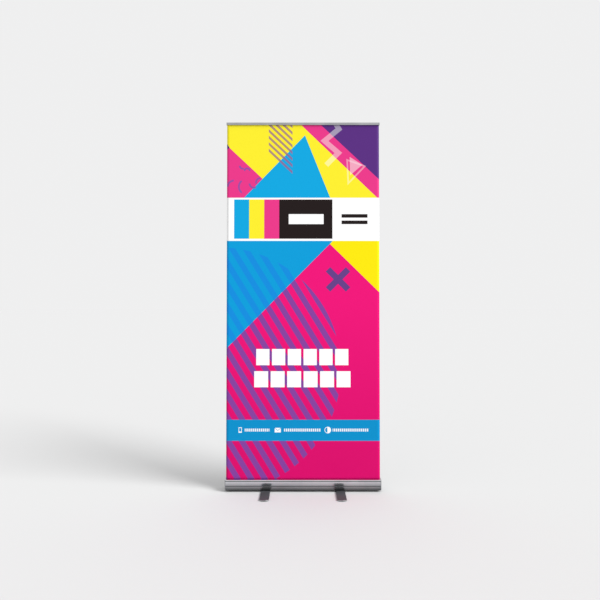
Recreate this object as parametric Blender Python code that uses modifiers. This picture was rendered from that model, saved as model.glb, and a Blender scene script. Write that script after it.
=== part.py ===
"""Roll-up banner stand with a spring roller, a clamp rail, a telescopic pole and two swivel feet.

Metres, +Z up. X runs along the base, the print faces -Y, and the origin is on the floor at the
middle of the stand. The print leans back a little from the base to the top rail.
"""
import math

import bmesh
import bpy
from mathutils import Matrix

# Driving dimensions
GAP = 0.0003
FILM_WIDTH = 0.850
FILM_THICK = 0.0004
LEAN = math.radians(1.05)

BASE_LENGTH = 0.858
BASE_DEPTH = 0.090
BASE_BOTTOM = 0.0086
BASE_TOP = 0.0660
WALL = 0.0022
CAP_THICK = 0.0032

ROLLER_Z = 0.0375
TUBE_RADIUS = 0.0160
TUBE_WALL = 0.0012
ROLL_RADIUS = 0.0172

RAIL_BOTTOM_Z = 2.032
RAIL_HEIGHT = 0.014
RAIL_FRONT = 0.0065
RAIL_REAR = 0.0085
RAIL_CAP_THICK = 0.0025

POLE_Y = 0.0360
POLE_HINGE_Z = 0.0460

FOOT_X = 0.2045
FOOT_LENGTH = 0.383
FOOT_WIDTH = 0.050
FOOT_THICK = 0.005
PAD_THICK = 0.0017

# Places that follow from them
HALF_DEPTH = BASE_DEPTH / 2
HALF_HOUSING = BASE_LENGTH / 2 - CAP_THICK - GAP
HALF_TUBE = FILM_WIDTH / 2 - 0.0005
FILM_RADIUS = ROLL_RADIUS + GAP + FILM_THICK / 2
FILM_START_Y = -FILM_RADIUS * math.cos(LEAN)
FILM_START_Z = ROLLER_Z + FILM_RADIUS * math.sin(LEAN)
RAIL_STATION = (RAIL_BOTTOM_Z - FILM_START_Z) / math.cos(LEAN)
SLOT_HALF = 0.0044
SLOT_Z = 0.0630
SLOT_Y = FILM_START_Y + (SLOT_Z - FILM_START_Z) * math.tan(LEAN)
FOOT_BOTTOM = PAD_THICK + GAP
ALONG_X = (math.pi / 2, 0, math.pi / 2)
TURN_TO_X = (0, math.pi / 2, 0)

# Shared sections, as (outer radius, inner radius) of the pole's three tubes
LOWER_TUBE = (0.0125, 0.0113)
MIDDLE_TUBE = (0.0105, 0.0093)
TOP_TUBE = (0.0085, 0.0073)


def clear_scene():
    for obj in list(bpy.data.objects):
        bpy.data.objects.remove(obj, do_unlink=True)


def new_collection(name):
    collection = bpy.data.collections.new(name)
    bpy.context.scene.collection.children.link(collection)
    return collection


def finish(name, color, roughness, metallic):
    material = bpy.data.materials.new(name)
    material.use_nodes = True
    shader = material.node_tree.nodes["Principled BSDF"]
    shader.inputs["Base Color"].default_value = (*color, 1.0)
    shader.inputs["Roughness"].default_value = roughness
    shader.inputs["Metallic"].default_value = metallic
    return material


def add(name, mesh, material=None, parent=None, location=(0, 0, 0), rotation=(0, 0, 0)):
    """A new object; without a material it is a cutter."""
    obj = bpy.data.objects.new(name, mesh)
    (PARTS if material else CUTTERS).objects.link(obj)
    obj.location = location
    obj.rotation_euler = rotation
    obj.parent = parent
    if material:
        mesh.materials.append(material)
    else:
        obj.hide_render = True
        obj.display_type = "WIRE"
    return obj


def axis_empty(name, location, rotation=(0, 0, 0), parent=None):
    empty = bpy.data.objects.new(name, None)
    PARTS.objects.link(empty)
    empty.location = location
    empty.rotation_euler = rotation
    empty.parent = parent
    return empty


def arc(center, radius, start, end, steps):
    """Points on an arc, in degrees, both ends included."""
    angles = [math.radians(start + (end - start) * i / steps) for i in range(steps + 1)]
    return [(center[0] + radius * math.cos(a), center[1] + radius * math.sin(a)) for a in angles]


def plate(outline, thickness):
    """The mesh of a flat outline, raised by half the thickness both ways along Z."""
    curve = bpy.data.curves.new("outline", "CURVE")
    curve.dimensions = "2D"
    curve.fill_mode = "BOTH"
    curve.extrude = thickness / 2
    spline = curve.splines.new("POLY")
    spline.points.add(len(outline) - 1)
    for point, (x, y) in zip(spline.points, outline):
        point.co = (x, y, 0, 1)
    spline.use_cyclic_u = True
    return solid_of(curve)


def rod(points, radius, sides_step=2):
    """The mesh of a round wire along a list of points."""
    curve = bpy.data.curves.new("wire", "CURVE")
    curve.dimensions = "3D"
    curve.bevel_depth = radius
    curve.bevel_resolution = sides_step
    curve.use_fill_caps = True
    spline = curve.splines.new("POLY")
    spline.points.add(len(points) - 1)
    for point, place in zip(spline.points, points):
        point.co = (*place, 1)
    return solid_of(curve)


def solid_of(curve):
    """A curve's evaluated mesh with its caps welded on. The curve is removed."""
    source = bpy.data.objects.new("source", curve)
    CUTTERS.objects.link(source)
    bpy.context.view_layer.update()
    graph = bpy.context.evaluated_depsgraph_get()
    mesh = bpy.data.meshes.new_from_object(source.evaluated_get(graph))
    bpy.data.objects.remove(source, do_unlink=True)
    bm = bmesh.new()
    bm.from_mesh(mesh)
    bmesh.ops.remove_doubles(bm, verts=bm.verts, dist=0.000001)
    bmesh.ops.recalc_face_normals(bm, faces=bm.faces)
    bm.to_mesh(mesh)
    bm.free()
    return mesh


def box(low, high):
    """The mesh of a box between two corners."""
    size = [h - l for l, h in zip(low, high)]
    middle = [(h + l) / 2 for l, h in zip(low, high)]
    bm = bmesh.new()
    bmesh.ops.create_cube(bm, matrix=Matrix.Translation(middle) @ Matrix.Diagonal((*size, 1)))
    return finished(bm)


def cylinder(radius, start, end, sides=24):
    """The mesh of a cylinder about Z, from start to end."""
    bm = bmesh.new()
    bmesh.ops.create_cone(bm, cap_ends=True, segments=sides, radius1=radius, radius2=radius,
                          depth=end - start, matrix=Matrix.Translation((0, 0, (start + end) / 2)))
    return finished(bm)


def finished(bm):
    mesh = bpy.data.meshes.new("solid")
    bm.to_mesh(mesh)
    bm.free()
    return mesh


def turned(name, profile, material, closed=False, steps=24, **place):
    """A profile of (radius, height) points, outer side top to bottom, turned about Z."""
    mesh = bpy.data.meshes.new(name)
    edges = [(i, i + 1) for i in range(len(profile) - 1)]
    if closed:
        edges.append((len(profile) - 1, 0))
    mesh.from_pydata([(r, 0, z) for r, z in profile], edges, [])
    obj = add(name, mesh, material, **place)
    screw = obj.modifiers.new("turn", "SCREW")
    screw.steps = screw.render_steps = steps
    screw.use_merge_vertices = True
    screw.merge_threshold = 0.00001
    screw.use_smooth_shade = True
    return obj


def ring(outer, inner, bottom, top):
    """The closed profile of a plain ring or tube."""
    return [(outer, top), (outer, bottom), (inner, bottom), (inner, top)]


def combine(obj, other, operation="DIFFERENCE"):
    modifier = obj.modifiers.new(other.name, "BOOLEAN")
    modifier.operation = operation
    modifier.solver = "EXACT"
    modifier.object = other


def soften(obj, width, segments=2):
    bevel = obj.modifiers.new("softened edges", "BEVEL")
    bevel.width = width
    bevel.segments = segments
    bevel.limit_method = "ANGLE"
    bevel.angle_limit = math.radians(50)


def groove(face_y, floor_y, z_top, mouth, bottom):
    """Four points of a groove in a wall, from its upper edge down."""
    slope = (mouth - bottom) / 2
    z_low = z_top - mouth
    return [(face_y, z_top), (floor_y, z_top - slope), (floor_y, z_low + slope), (face_y, z_low)]


# --- Base ---------------------------------------------------------------------------------

TOP_EDGE_RADIUS = 0.0040
FRONT_FOOT_RADIUS = 0.0025
REAR_FOOT_RADIUS = 0.0120
REAR_TOP_RADIUS = 0.0080
GROOVE_TOPS = (0.0606, 0.0345)
GROOVE_MOUTH = 0.0040
GROOVE_FLOOR = 0.0022
GROOVE_DEPTH = 0.0020
LIP_LEG = 0.0016
LIP_BOTTOM = 0.0596
CAP_SCREWS = ((-0.0365, 0.0175), (0.0375, 0.0585))
SCREW_RADIUS = 0.0015
SCREW_HOLE = 0.0018
NOTCH_HALF = 0.022
NOTCH_FRONT = 0.0225
NOTCH_BOTTOM = 0.030


def outer_side(with_grooves):
    """The housing's outside from the slot's front lip, down the front and round to the rear."""
    front = []
    for z_top in GROOVE_TOPS if with_grooves else ():
        front += groove(-HALF_DEPTH, -HALF_DEPTH + GROOVE_DEPTH, z_top, GROOVE_MOUTH, GROOVE_FLOOR)
    return [
        *arc((-HALF_DEPTH + TOP_EDGE_RADIUS, BASE_TOP - TOP_EDGE_RADIUS), TOP_EDGE_RADIUS, 90, 180, 4),
        *front,
        *arc((-HALF_DEPTH + FRONT_FOOT_RADIUS, BASE_BOTTOM + FRONT_FOOT_RADIUS),
             FRONT_FOOT_RADIUS, 180, 270, 6),
        *arc((HALF_DEPTH - REAR_FOOT_RADIUS, BASE_BOTTOM + REAR_FOOT_RADIUS),
             REAR_FOOT_RADIUS, 270, 360, 6),
        *arc((HALF_DEPTH - REAR_TOP_RADIUS, BASE_TOP - REAR_TOP_RADIUS), REAR_TOP_RADIUS, 0, 90, 5),
    ]


def housing_outline():
    """The C-shaped section, with a slot on top, two grooves in front and two screw corners."""
    inner_front = -HALF_DEPTH + WALL
    inner_rear = HALF_DEPTH - WALL
    inner_bottom = BASE_BOTTOM + WALL
    inner_top = BASE_TOP - WALL
    slot_front, slot_rear = SLOT_Y - SLOT_HALF, SLOT_Y + SLOT_HALF
    ribs = []
    for z_top in reversed(GROOVE_TOPS):
        rib = groove(inner_front, inner_front + GROOVE_DEPTH, z_top + WALL / 2,
                     GROOVE_MOUTH + WALL, GROOVE_FLOOR + WALL)
        ribs += reversed(rib)
    top_corner = 0.0905
    return [
        (slot_front, BASE_TOP),
        *outer_side(with_grooves=True),
        (slot_rear, BASE_TOP),
        (slot_rear, LIP_BOTTOM),
        (slot_rear + LIP_LEG, LIP_BOTTOM),
        (slot_rear + LIP_LEG, inner_top),
        (top_corner - inner_top, inner_top),
        (inner_rear, top_corner - inner_rear),
        *arc((HALF_DEPTH - REAR_FOOT_RADIUS, BASE_BOTTOM + REAR_FOOT_RADIUS),
             REAR_FOOT_RADIUS - WALL, 360, 270, 5),
        (-0.0245, inner_bottom),
        (inner_front, 0.0285),
        *ribs[:-1],
        (inner_front + GROOVE_DEPTH, inner_top),
        (slot_front - LIP_LEG, inner_top),
        (slot_front - LIP_LEG, LIP_BOTTOM),
        (slot_front, LIP_BOTTOM),
    ]


def make_housing():
    mesh = plate(housing_outline(), 2 * HALF_HOUSING)
    housing = add("base_housing", mesh, ALUMINIUM, rotation=ALONG_X)
    notch = box((-NOTCH_HALF, NOTCH_FRONT, NOTCH_BOTTOM), (NOTCH_HALF, 0.06, 0.08))
    combine(housing, add("cut_pole_notch", notch))
    for side in (-1, 1):
        for place, (y, z) in zip(("front", "rear"), CAP_SCREWS):
            hole = cylinder(SCREW_HOLE, -0.014, 0.002, 12)
            combine(housing, add(f"cut_end_screw_{place}_{side}", hole,
                                 location=(side * HALF_HOUSING, y, z),
                                 rotation=(0, side * math.pi / 2, 0)))
        hole = cylinder(0.0033, -0.004, 0.004, 16)
        combine(housing, add(f"cut_foot_bolt_{side}", hole,
                             location=(side * FOOT_X, 0, BASE_BOTTOM)))
        hole = cylinder(0.0022, -0.005, 0.005, 12)
        combine(housing, add(f"cut_bracket_screw_{side}", hole,
                             location=(side * BRACKET_SCREW_X, HALF_DEPTH, BRACKET_SCREW_Z),
                             rotation=(math.pi / 2, 0, 0)))


def make_end_cap(word, side):
    """A moulded plate with a hub that the roller's plug turns on, and two sunk screws."""
    plate_x = side * (BASE_LENGTH / 2 - CAP_THICK / 2)
    cap = add(f"end_cap_{word}", plate([(-0.0300, BASE_TOP), *outer_side(False)], CAP_THICK),
              GREY_PLASTIC, location=(plate_x, 0, 0), rotation=ALONG_X)
    soften(cap, 0.0006)
    facing = (0, side * math.pi / 2, 0)
    inner_x = side * (BASE_LENGTH / 2 - CAP_THICK)
    hub = add(f"add_hub_{word}", cylinder(0.0060, -0.0100, 0.0010),
              location=(inner_x, 0, ROLLER_Z), rotation=facing)
    combine(cap, hub, "UNION")
    if side < 0:
        socket = add("cut_shaft_socket", cylinder(0.0043, -0.0110, -0.0020, 16),
                     location=(inner_x, 0, ROLLER_Z), rotation=facing)
        combine(cap, socket)
    outer_x = side * BASE_LENGTH / 2
    for place, (y, z) in zip(("front", "rear"), CAP_SCREWS):
        sunk = turned(f"cut_sunk_screw_{word}_{place}",
                      [(0, 0.0010), (0.0034, 0.0010), (0.0034, -0.0019),
                       (SCREW_HOLE, -0.0019), (SCREW_HOLE, -0.0060), (0, -0.0060)],
                      None, steps=16, location=(outer_x, y, z), rotation=facing)
        combine(cap, sunk)
        turned(f"end_cap_screw_{word}_{place}",
               [(0, -0.0006), (0.0010, -0.0006), (0.0010, -0.0001), (0.0024, -0.0001),
                (0.0030, -0.0006), (0.0030, -0.0016), (SCREW_RADIUS, -0.0016),
                (SCREW_RADIUS, -0.0130), (0.0008, -0.0140), (0, -0.0140)],
               STEEL, steps=14, location=(outer_x, y, z), rotation=facing)


def make_slot_wipers():
    inner, outer = 0.0007, SLOT_HALF - GAP
    half = HALF_HOUSING - 0.002
    for word, side in (("front", -1), ("rear", 1)):
        low, high = sorted((side * inner, side * outer))
        add(f"slot_wiper_{word}", box((-half, SLOT_Y + low, 0.0602), (half, SLOT_Y + high, 0.0652)),
            FELT)


# --- Roller -------------------------------------------------------------------------------

SHAFT_RADIUS = 0.0040
SHAFT_END = -0.150
SPRING_START = -0.398
SPRING_TURNS = 13
SPRING_PITCH = 0.0175
ANCHOR_LEFT = -0.166


def make_roller():
    axis = axis_empty("roller_axis", (0, 0, ROLLER_Z), TURN_TO_X)
    bore = TUBE_RADIUS - TUBE_WALL
    turned("roller_tube", ring(TUBE_RADIUS, bore, -HALF_TUBE, HALF_TUBE), ALUMINIUM,
           closed=True, steps=32, parent=axis)
    turned("film_roll", ring(ROLL_RADIUS, TUBE_RADIUS + GAP, -FILM_WIDTH / 2, FILM_WIDTH / 2),
           FILM, closed=True, steps=32, parent=axis)
    for word, side in (("left", -1), ("right", 1)):
        near, far = sorted((side * HALF_TUBE - side * 0.0005, side * (HALF_TUBE - 0.0125)))
        turned(f"roller_plug_{word}", ring(bore - GAP, 0.0063, near, far), NYLON,
               closed=True, parent=axis)
    turned("spring_anchor",
           [(bore - GAP, ANCHOR_LEFT + 0.012), (bore - GAP, ANCHOR_LEFT),
            (SHAFT_RADIUS + GAP, ANCHOR_LEFT), (SHAFT_RADIUS + GAP, ANCHOR_LEFT + 0.012)],
           NYLON, closed=True, parent=axis)


def make_spring():
    """The fixed shaft and the coil round it that winds up as the print is pulled out."""
    shaft_start = -BASE_LENGTH / 2 + CAP_THICK + 0.0023
    turned("spring_shaft",
           [(0, SHAFT_END), (SHAFT_RADIUS - 0.0005, SHAFT_END), (SHAFT_RADIUS, SHAFT_END - 0.0005),
            (SHAFT_RADIUS, shaft_start), (0, shaft_start)],
           STEEL, steps=16, location=(0, 0, ROLLER_Z), rotation=TURN_TO_X)
    coil_radius, per_turn = 0.0085, 12
    points = []
    for i in range(SPRING_TURNS * per_turn + 1):
        angle = 2 * math.pi * i / per_turn
        points.append((SPRING_START + SPRING_PITCH * i / per_turn,
                       coil_radius * math.cos(angle), ROLLER_Z + coil_radius * math.sin(angle)))
    add("torsion_spring", rod(points, 0.0009), SPRING_STEEL)


# --- Print and top rail -------------------------------------------------------------------

def make_film(film_plane):
    top = RAIL_STATION + RAIL_HEIGHT - 0.0040
    sheet = box((-FILM_WIDTH / 2, -FILM_THICK / 2, 0), (FILM_WIDTH / 2, FILM_THICK / 2, top))
    add("banner_film", sheet, FILM, parent=film_plane)


JAW_BARREL = (-0.0043, RAIL_HEIGHT - 0.0022)
JAW_BARREL_RADIUS = 0.0022


def make_rail(film_plane):
    """Two aluminium halves that clamp the film. The rear one has a channel for the pole's hook."""
    rail = axis_empty("rail_slide", (0, 0, RAIL_STATION), parent=film_plane)
    length = FILM_WIDTH + 2 * GAP
    channel_floor, channel_low, channel_high = 0.0035, 0.0025, 0.0105
    flange_low, grip_low, grip_high = RAIL_HEIGHT - 0.0018, 0.0024, 0.0074
    near = FILM_THICK / 2 + GAP
    flange = JAW_BARREL[0] + JAW_BARREL_RADIUS + GAP
    back = [
        (near, 0), (RAIL_REAR, 0), (RAIL_REAR, channel_low), (channel_floor, channel_low),
        (channel_floor, channel_high), (RAIL_REAR, channel_high), (RAIL_REAR, RAIL_HEIGHT),
        (flange, RAIL_HEIGHT), (flange, flange_low), (near, flange_low), (near, grip_high),
        (near + 0.0012, grip_high), (near + 0.0012, grip_low), (near, grip_low),
    ]
    add("top_rail_back", plate(back, length), ALUMINIUM, parent=rail, rotation=ALONG_X)
    strip = box((-length / 2 + 0.001, near, grip_low + GAP),
                (length / 2 - 0.001, near + 0.0009, grip_high - GAP))
    add("rail_grip_strip", strip, RUBBER, parent=rail)
    cap = [(-RAIL_FRONT + 0.001, 0), (RAIL_REAR - 0.001, 0), (RAIL_REAR, 0.001),
           (RAIL_REAR, RAIL_HEIGHT - 0.001), (RAIL_REAR - 0.001, RAIL_HEIGHT),
           *arc(JAW_BARREL, JAW_BARREL_RADIUS, 90, 180, 4), (-RAIL_FRONT, 0.001)]
    for word, side in (("left", -1), ("right", 1)):
        add(f"rail_cap_{word}", plate(cap, RAIL_CAP_THICK), GREY_PLASTIC, parent=rail,
            location=(side * (length / 2 + GAP + RAIL_CAP_THICK / 2), 0, 0), rotation=ALONG_X)

    jaw_axis = axis_empty("jaw_hinge", (0, *JAW_BARREL), parent=rail)
    down, front = -JAW_BARREL[1], -RAIL_FRONT - JAW_BARREL[0]
    rear = -near - JAW_BARREL[0]
    jaw = [(rear, down), (rear, -0.0004), *arc((0, 0), JAW_BARREL_RADIUS, 0, 180, 8),
           (front, down + 0.0012), (front + 0.0010, down)]
    add("top_rail_front", plate(jaw, length), ALUMINIUM, parent=jaw_axis, rotation=ALONG_X)


# --- Pole ---------------------------------------------------------------------------------

BRACKET_SCREW_X = 0.009
BRACKET_SCREW_Z = 0.0215
CHEEK_INNER = 0.0134
CHEEK_OUTER = 0.0168
PIN_RADIUS = 0.0025


def make_bracket():
    """A channel on the housing's floor with two cheeks for the hinge pin."""
    floor = BASE_BOTTOM + WALL + GAP
    front, rear = 0.0238, HALF_DEPTH - WALL - GAP
    section = [(-CHEEK_OUTER, floor), (CHEEK_OUTER, floor), (CHEEK_OUTER, 0.0560),
               (CHEEK_INNER, 0.0560), (CHEEK_INNER, floor + 0.003), (-CHEEK_INNER, floor + 0.003),
               (-CHEEK_INNER, 0.0560), (-CHEEK_OUTER, 0.0560)]
    bracket = add("pole_bracket", plate(section, rear - front), STEEL,
                  location=(0, (front + rear) / 2, 0), rotation=(math.pi / 2, 0, 0))
    web = box((-CHEEK_INNER - 0.001, rear - 0.0030, floor + 0.001),
              (CHEEK_INNER + 0.001, rear, 0.0275))
    combine(bracket, add("add_bracket_web", web), "UNION")
    corner = 0.004
    rounding = plate([(rear + 0.001, floor + corner), (rear + 0.001, floor - 0.001),
                      (rear - corner * 2.5, floor - 0.001),
                      *arc((rear - corner * 2.5, floor + corner * 2.5), corner * 2.5, 270, 360, 6)],
                     0.06)
    combine(bracket, add("cut_bracket_corner", rounding, rotation=ALONG_X))
    pin_bore = cylinder(PIN_RADIUS + GAP, -0.03, 0.03, 20)
    combine(bracket, add("cut_bracket_pin", pin_bore, rotation=TURN_TO_X,
                         location=(0, POLE_Y, POLE_HINGE_Z)))
    for word, side in (("left", -1), ("right", 1)):
        hole = cylinder(0.0022, -0.006, 0.006, 12)
        place = (side * BRACKET_SCREW_X, rear, BRACKET_SCREW_Z)
        combine(bracket, add(f"cut_bracket_hole_{word}", hole, location=place,
                             rotation=(math.pi / 2, 0, 0)))
        turned(f"bracket_screw_{word}",
               [(0, 0.0022), (0.0022, 0.0022), (0.0034, 0.0014), (0.0036, 0.0003),
                (0.0018, 0.0003), (0.0018, -0.0080), (0, -0.0080)],
               STEEL, steps=14, location=(place[0], HALF_DEPTH, place[2]),
               rotation=(-math.pi / 2, 0, 0))
    turned("pole_hinge_pin",
           [(0, 0.0188), (0.0040, 0.0188), (0.0045, 0.0183), (0.0045, CHEEK_OUTER + GAP),
            (PIN_RADIUS, CHEEK_OUTER + GAP), (PIN_RADIUS, -0.0185), (0.0020, -0.0190), (0, -0.0190)],
           STEEL, steps=20, location=(0, POLE_Y, POLE_HINGE_Z), rotation=TURN_TO_X)


def make_lower_pole(hinge):
    """Heights here are above the hinge pin."""
    lug_radius, collar_low, tube_low, tube_top = 0.0085, 0.0155, 0.0260, 0.6890
    side = [*arc((0, 0), lug_radius, 180, 360, 12), (lug_radius, collar_low + 0.001),
            (-lug_radius, collar_low + 0.001)]
    foot = add("pole_foot", plate(side, 2 * (CHEEK_INNER - 0.0009)), BLACK_PLASTIC,
               parent=hinge, rotation=ALONG_X)
    spigot = turned("add_pole_spigot",
                    [(0, 0.0460), (0.0102, 0.0460), (0.0109, 0.0450), (0.0109, tube_low - GAP),
                     (0.0125, tube_low - GAP), (0.0125, collar_low + 0.0005),
                     (0.0120, collar_low), (0, collar_low)],
                    None, parent=hinge)
    combine(foot, spigot, "UNION")
    bore = add("cut_pole_foot_bore", cylinder(PIN_RADIUS + GAP, -0.03, 0.03, 20), parent=hinge,
               rotation=TURN_TO_X)
    combine(foot, bore)
    turned("pole_lower_tube", ring(*LOWER_TUBE, tube_low, tube_top), ALUMINIUM, closed=True,
           steps=28, parent=hinge)
    make_lock_collar("lower_lock_collar", hinge, tube_top, LOWER_TUBE[0], MIDDLE_TUBE[0], 0.0155)


def make_lock_collar(name, parent, tube_top, tube_radius, inner_radius, outer_radius):
    """A twist-lock sleeve: a wide bore round the lower tube's end, a narrow one for the next tube."""
    bottom, top, edge = tube_top - 0.030, tube_top + 0.017, 0.0012
    turned(name,
           [(outer_radius - edge, top), (outer_radius, top - edge), (outer_radius, bottom + edge),
            (outer_radius - edge, bottom), (tube_radius + GAP, bottom),
            (tube_radius + GAP, tube_top + GAP), (inner_radius + GAP, tube_top + GAP),
            (inner_radius + GAP, top)],
           BLACK_PLASTIC, closed=True, steps=28, parent=parent)


def make_guide_bush(name, parent, tube_low, outer_radius, inner_radius):
    turned(name, ring(outer_radius, inner_radius, tube_low - GAP - 0.020, tube_low - GAP),
           NYLON, closed=True, parent=parent)


def make_upper_poles(hinge):
    middle = axis_empty("middle_slide", (0, 0, 0), parent=hinge)
    tube_low, tube_top = 0.6240, 1.3440
    turned("pole_middle_tube", ring(*MIDDLE_TUBE, tube_low, tube_top), ALUMINIUM, closed=True,
           steps=28, parent=middle)
    make_guide_bush("middle_guide_bush", middle, tube_low, LOWER_TUBE[1] - GAP, 0.0089)
    make_lock_collar("upper_lock_collar", middle, tube_top, MIDDLE_TUBE[0], TOP_TUBE[0], 0.0135)
    top = axis_empty("top_slide", (0, 0, 0), parent=middle)
    tube_low, tube_top = 1.2540, RAIL_BOTTOM_Z - 0.0303 - POLE_HINGE_Z
    turned("pole_top_tube", ring(*TOP_TUBE, tube_low, tube_top), ALUMINIUM, closed=True,
           steps=28, parent=top)
    make_guide_bush("top_guide_bush", top, tube_low, MIDDLE_TUBE[1] - GAP, 0.0065)
    make_hook(top, tube_top)


def make_hook(parent, tube_top):
    """The cap on the pole. Its ramped tongue sits in the rail's rear channel and carries the rail."""
    ceiling = RAIL_BOTTOM_Z + 0.0103 - POLE_HINGE_Z
    rail_rear_y = FILM_START_Y + RAIL_STATION * math.sin(LEAN) + RAIL_REAR - POLE_Y
    stem_front, tip, rear = rail_rear_y + 0.0020, rail_rear_y - 0.0037, 0.0060
    lip_z = ceiling - 0.0004
    side = [(rear, tube_top + 0.008), (rear, lip_z - 0.002), (rear - 0.002, lip_z),
            (rail_rear_y + 0.0004, lip_z), (tip, lip_z - 0.0017), (tip, lip_z - 0.0060),
            (stem_front, lip_z - 0.0064), (stem_front, tube_top + 0.008)]
    hook = add("pole_hook", plate(list(reversed(side)), 0.036), BLACK_PLASTIC, parent=parent,
               rotation=ALONG_X)
    collar = turned("add_hook_collar",
                    [(0, tube_top + 0.012), (0.0085, tube_top + 0.012), (0.0092, tube_top + 0.010),
                     (0.0092, tube_top + GAP), (0.0069, tube_top + GAP),
                     (0.0069, tube_top - 0.024), (0.0062, tube_top - 0.025), (0, tube_top - 0.025)],
                    None, parent=parent)
    combine(hook, collar, "UNION")


# --- Feet ---------------------------------------------------------------------------------

def make_foot(word, side):
    pivot = axis_empty(f"foot_pivot_axis_{word}", (side * FOOT_X, 0, 0))
    half_length, half_width, sag = FOOT_LENGTH / 2, FOOT_WIDTH / 2, 0.0120
    end_radius = (half_width ** 2 + sag ** 2) / (2 * sag)
    spread = math.degrees(math.asin(half_width / end_radius))
    end_center = half_length - end_radius
    outline = [*arc((0, end_center), end_radius, 90 - spread, 90 + spread, 10),
               *arc((0, -end_center), end_radius, 270 - spread, 270 + spread, 10)]
    foot = add(f"foot_{word}", plate(outline, FOOT_THICK), ALUMINIUM, parent=pivot,
               location=(0, 0, FOOT_BOTTOM + FOOT_THICK / 2))
    soften(foot, 0.0012, 3)
    head_radius, head_height, shank = 0.0070, 0.0020, 0.0030
    seat = turned(f"cut_foot_seat_{word}",
                  [(0, FOOT_THICK + 0.001), (shank + GAP, FOOT_THICK + 0.001),
                   (shank + GAP, head_height + 2 * GAP), (head_radius + GAP, head_height + 2 * GAP),
                   (head_radius + GAP, -0.001), (0, -0.001)],
                  None, steps=20, parent=pivot, location=(0, 0, FOOT_BOTTOM))
    combine(foot, seat)
    for place, end in (("front", -1), ("rear", 1)):
        turned(f"foot_pad_{word}_{place}",
               [(0, PAD_THICK), (0.0125, PAD_THICK), (0.0130, PAD_THICK - 0.0004), (0.0130, 0), (0, 0)],
               RUBBER, steps=20, parent=pivot, location=(0, end * (half_length - 0.024), 0))
    low = FOOT_BOTTOM + GAP
    turned(f"foot_pivot_bolt_{word}",
           [(0, 0.0150), (shank, 0.0150), (shank, low + head_height), (head_radius, low + head_height),
            (head_radius, low), (0, low)],
           STEEL, steps=20, location=(side * FOOT_X, 0, 0))
    washer_low = FOOT_BOTTOM + FOOT_THICK + GAP
    turned(f"foot_washer_{word}", ring(0.0100, shank + GAP, washer_low, BASE_BOTTOM - GAP), NYLON,
           closed=True, location=(side * FOOT_X, 0, 0))
    nut_low = BASE_BOTTOM + WALL + GAP
    nut = add(f"foot_pivot_nut_{word}", cylinder(0.0058, nut_low, nut_low + 0.0038, 6), STEEL,
              location=(side * FOOT_X, 0, 0))
    combine(nut, add(f"cut_nut_thread_{word}", cylinder(shank + GAP, 0.005, 0.020, 20),
                     location=(side * FOOT_X, 0, 0)))


clear_scene()
PARTS = new_collection("roll_up_banner_stand")
CUTTERS = new_collection("cutters")
ALUMINIUM = finish("anodised aluminium", (0.62, 0.62, 0.63), 0.35, 1.0)
STEEL = finish("zinc-plated steel", (0.55, 0.55, 0.56), 0.35, 1.0)
SPRING_STEEL = finish("spring steel", (0.25, 0.25, 0.27), 0.4, 1.0)
GREY_PLASTIC = finish("grey moulded plastic", (0.30, 0.30, 0.31), 0.5, 0.0)
BLACK_PLASTIC = finish("black moulded plastic", (0.03, 0.03, 0.03), 0.5, 0.0)
NYLON = finish("nylon", (0.75, 0.75, 0.72), 0.5, 0.0)
RUBBER = finish("rubber", (0.03, 0.03, 0.03), 0.8, 0.0)
FELT = finish("wiper felt", (0.05, 0.05, 0.05), 0.95, 0.0)
FILM = finish("printed film", (0.72, 0.05, 0.25), 0.35, 0.0)

FILM_PLANE = axis_empty("film_plane", (0, FILM_START_Y, FILM_START_Z), (-LEAN, 0, 0))
POLE_HINGE = axis_empty("pole_hinge", (0, POLE_Y, POLE_HINGE_Z))

make_housing()
make_slot_wipers()
make_bracket()
make_roller()
make_spring()
make_film(FILM_PLANE)
make_rail(FILM_PLANE)
make_lower_pole(POLE_HINGE)
make_upper_poles(POLE_HINGE)
for WORD, SIDE in (("left", -1), ("right", 1)):
    make_end_cap(WORD, SIDE)
    make_foot(WORD, SIDE)
for PART in PARTS.objects:
    if PART.type == "MESH":
        PART.data.shade_smooth()
        PART.data.set_sharp_from_angle(angle=math.radians(35))
bpy.context.view_layer.update()
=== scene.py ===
# %% [markdown]
# # A roll-up banner stand
#
# A printed film comes out of a slot in a long aluminium housing and is held up by a clamp rail,
# which hangs on a pole behind it. A spring roller in the housing winds the film back in.
#
# The CAD model is loaded first and stays fixed. Each visible piece is built round it, in metres,
# in the place of the CAD part that it stands for, and rides on that part's body.

# %% Load the fixed frame
import functools
import math

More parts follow.
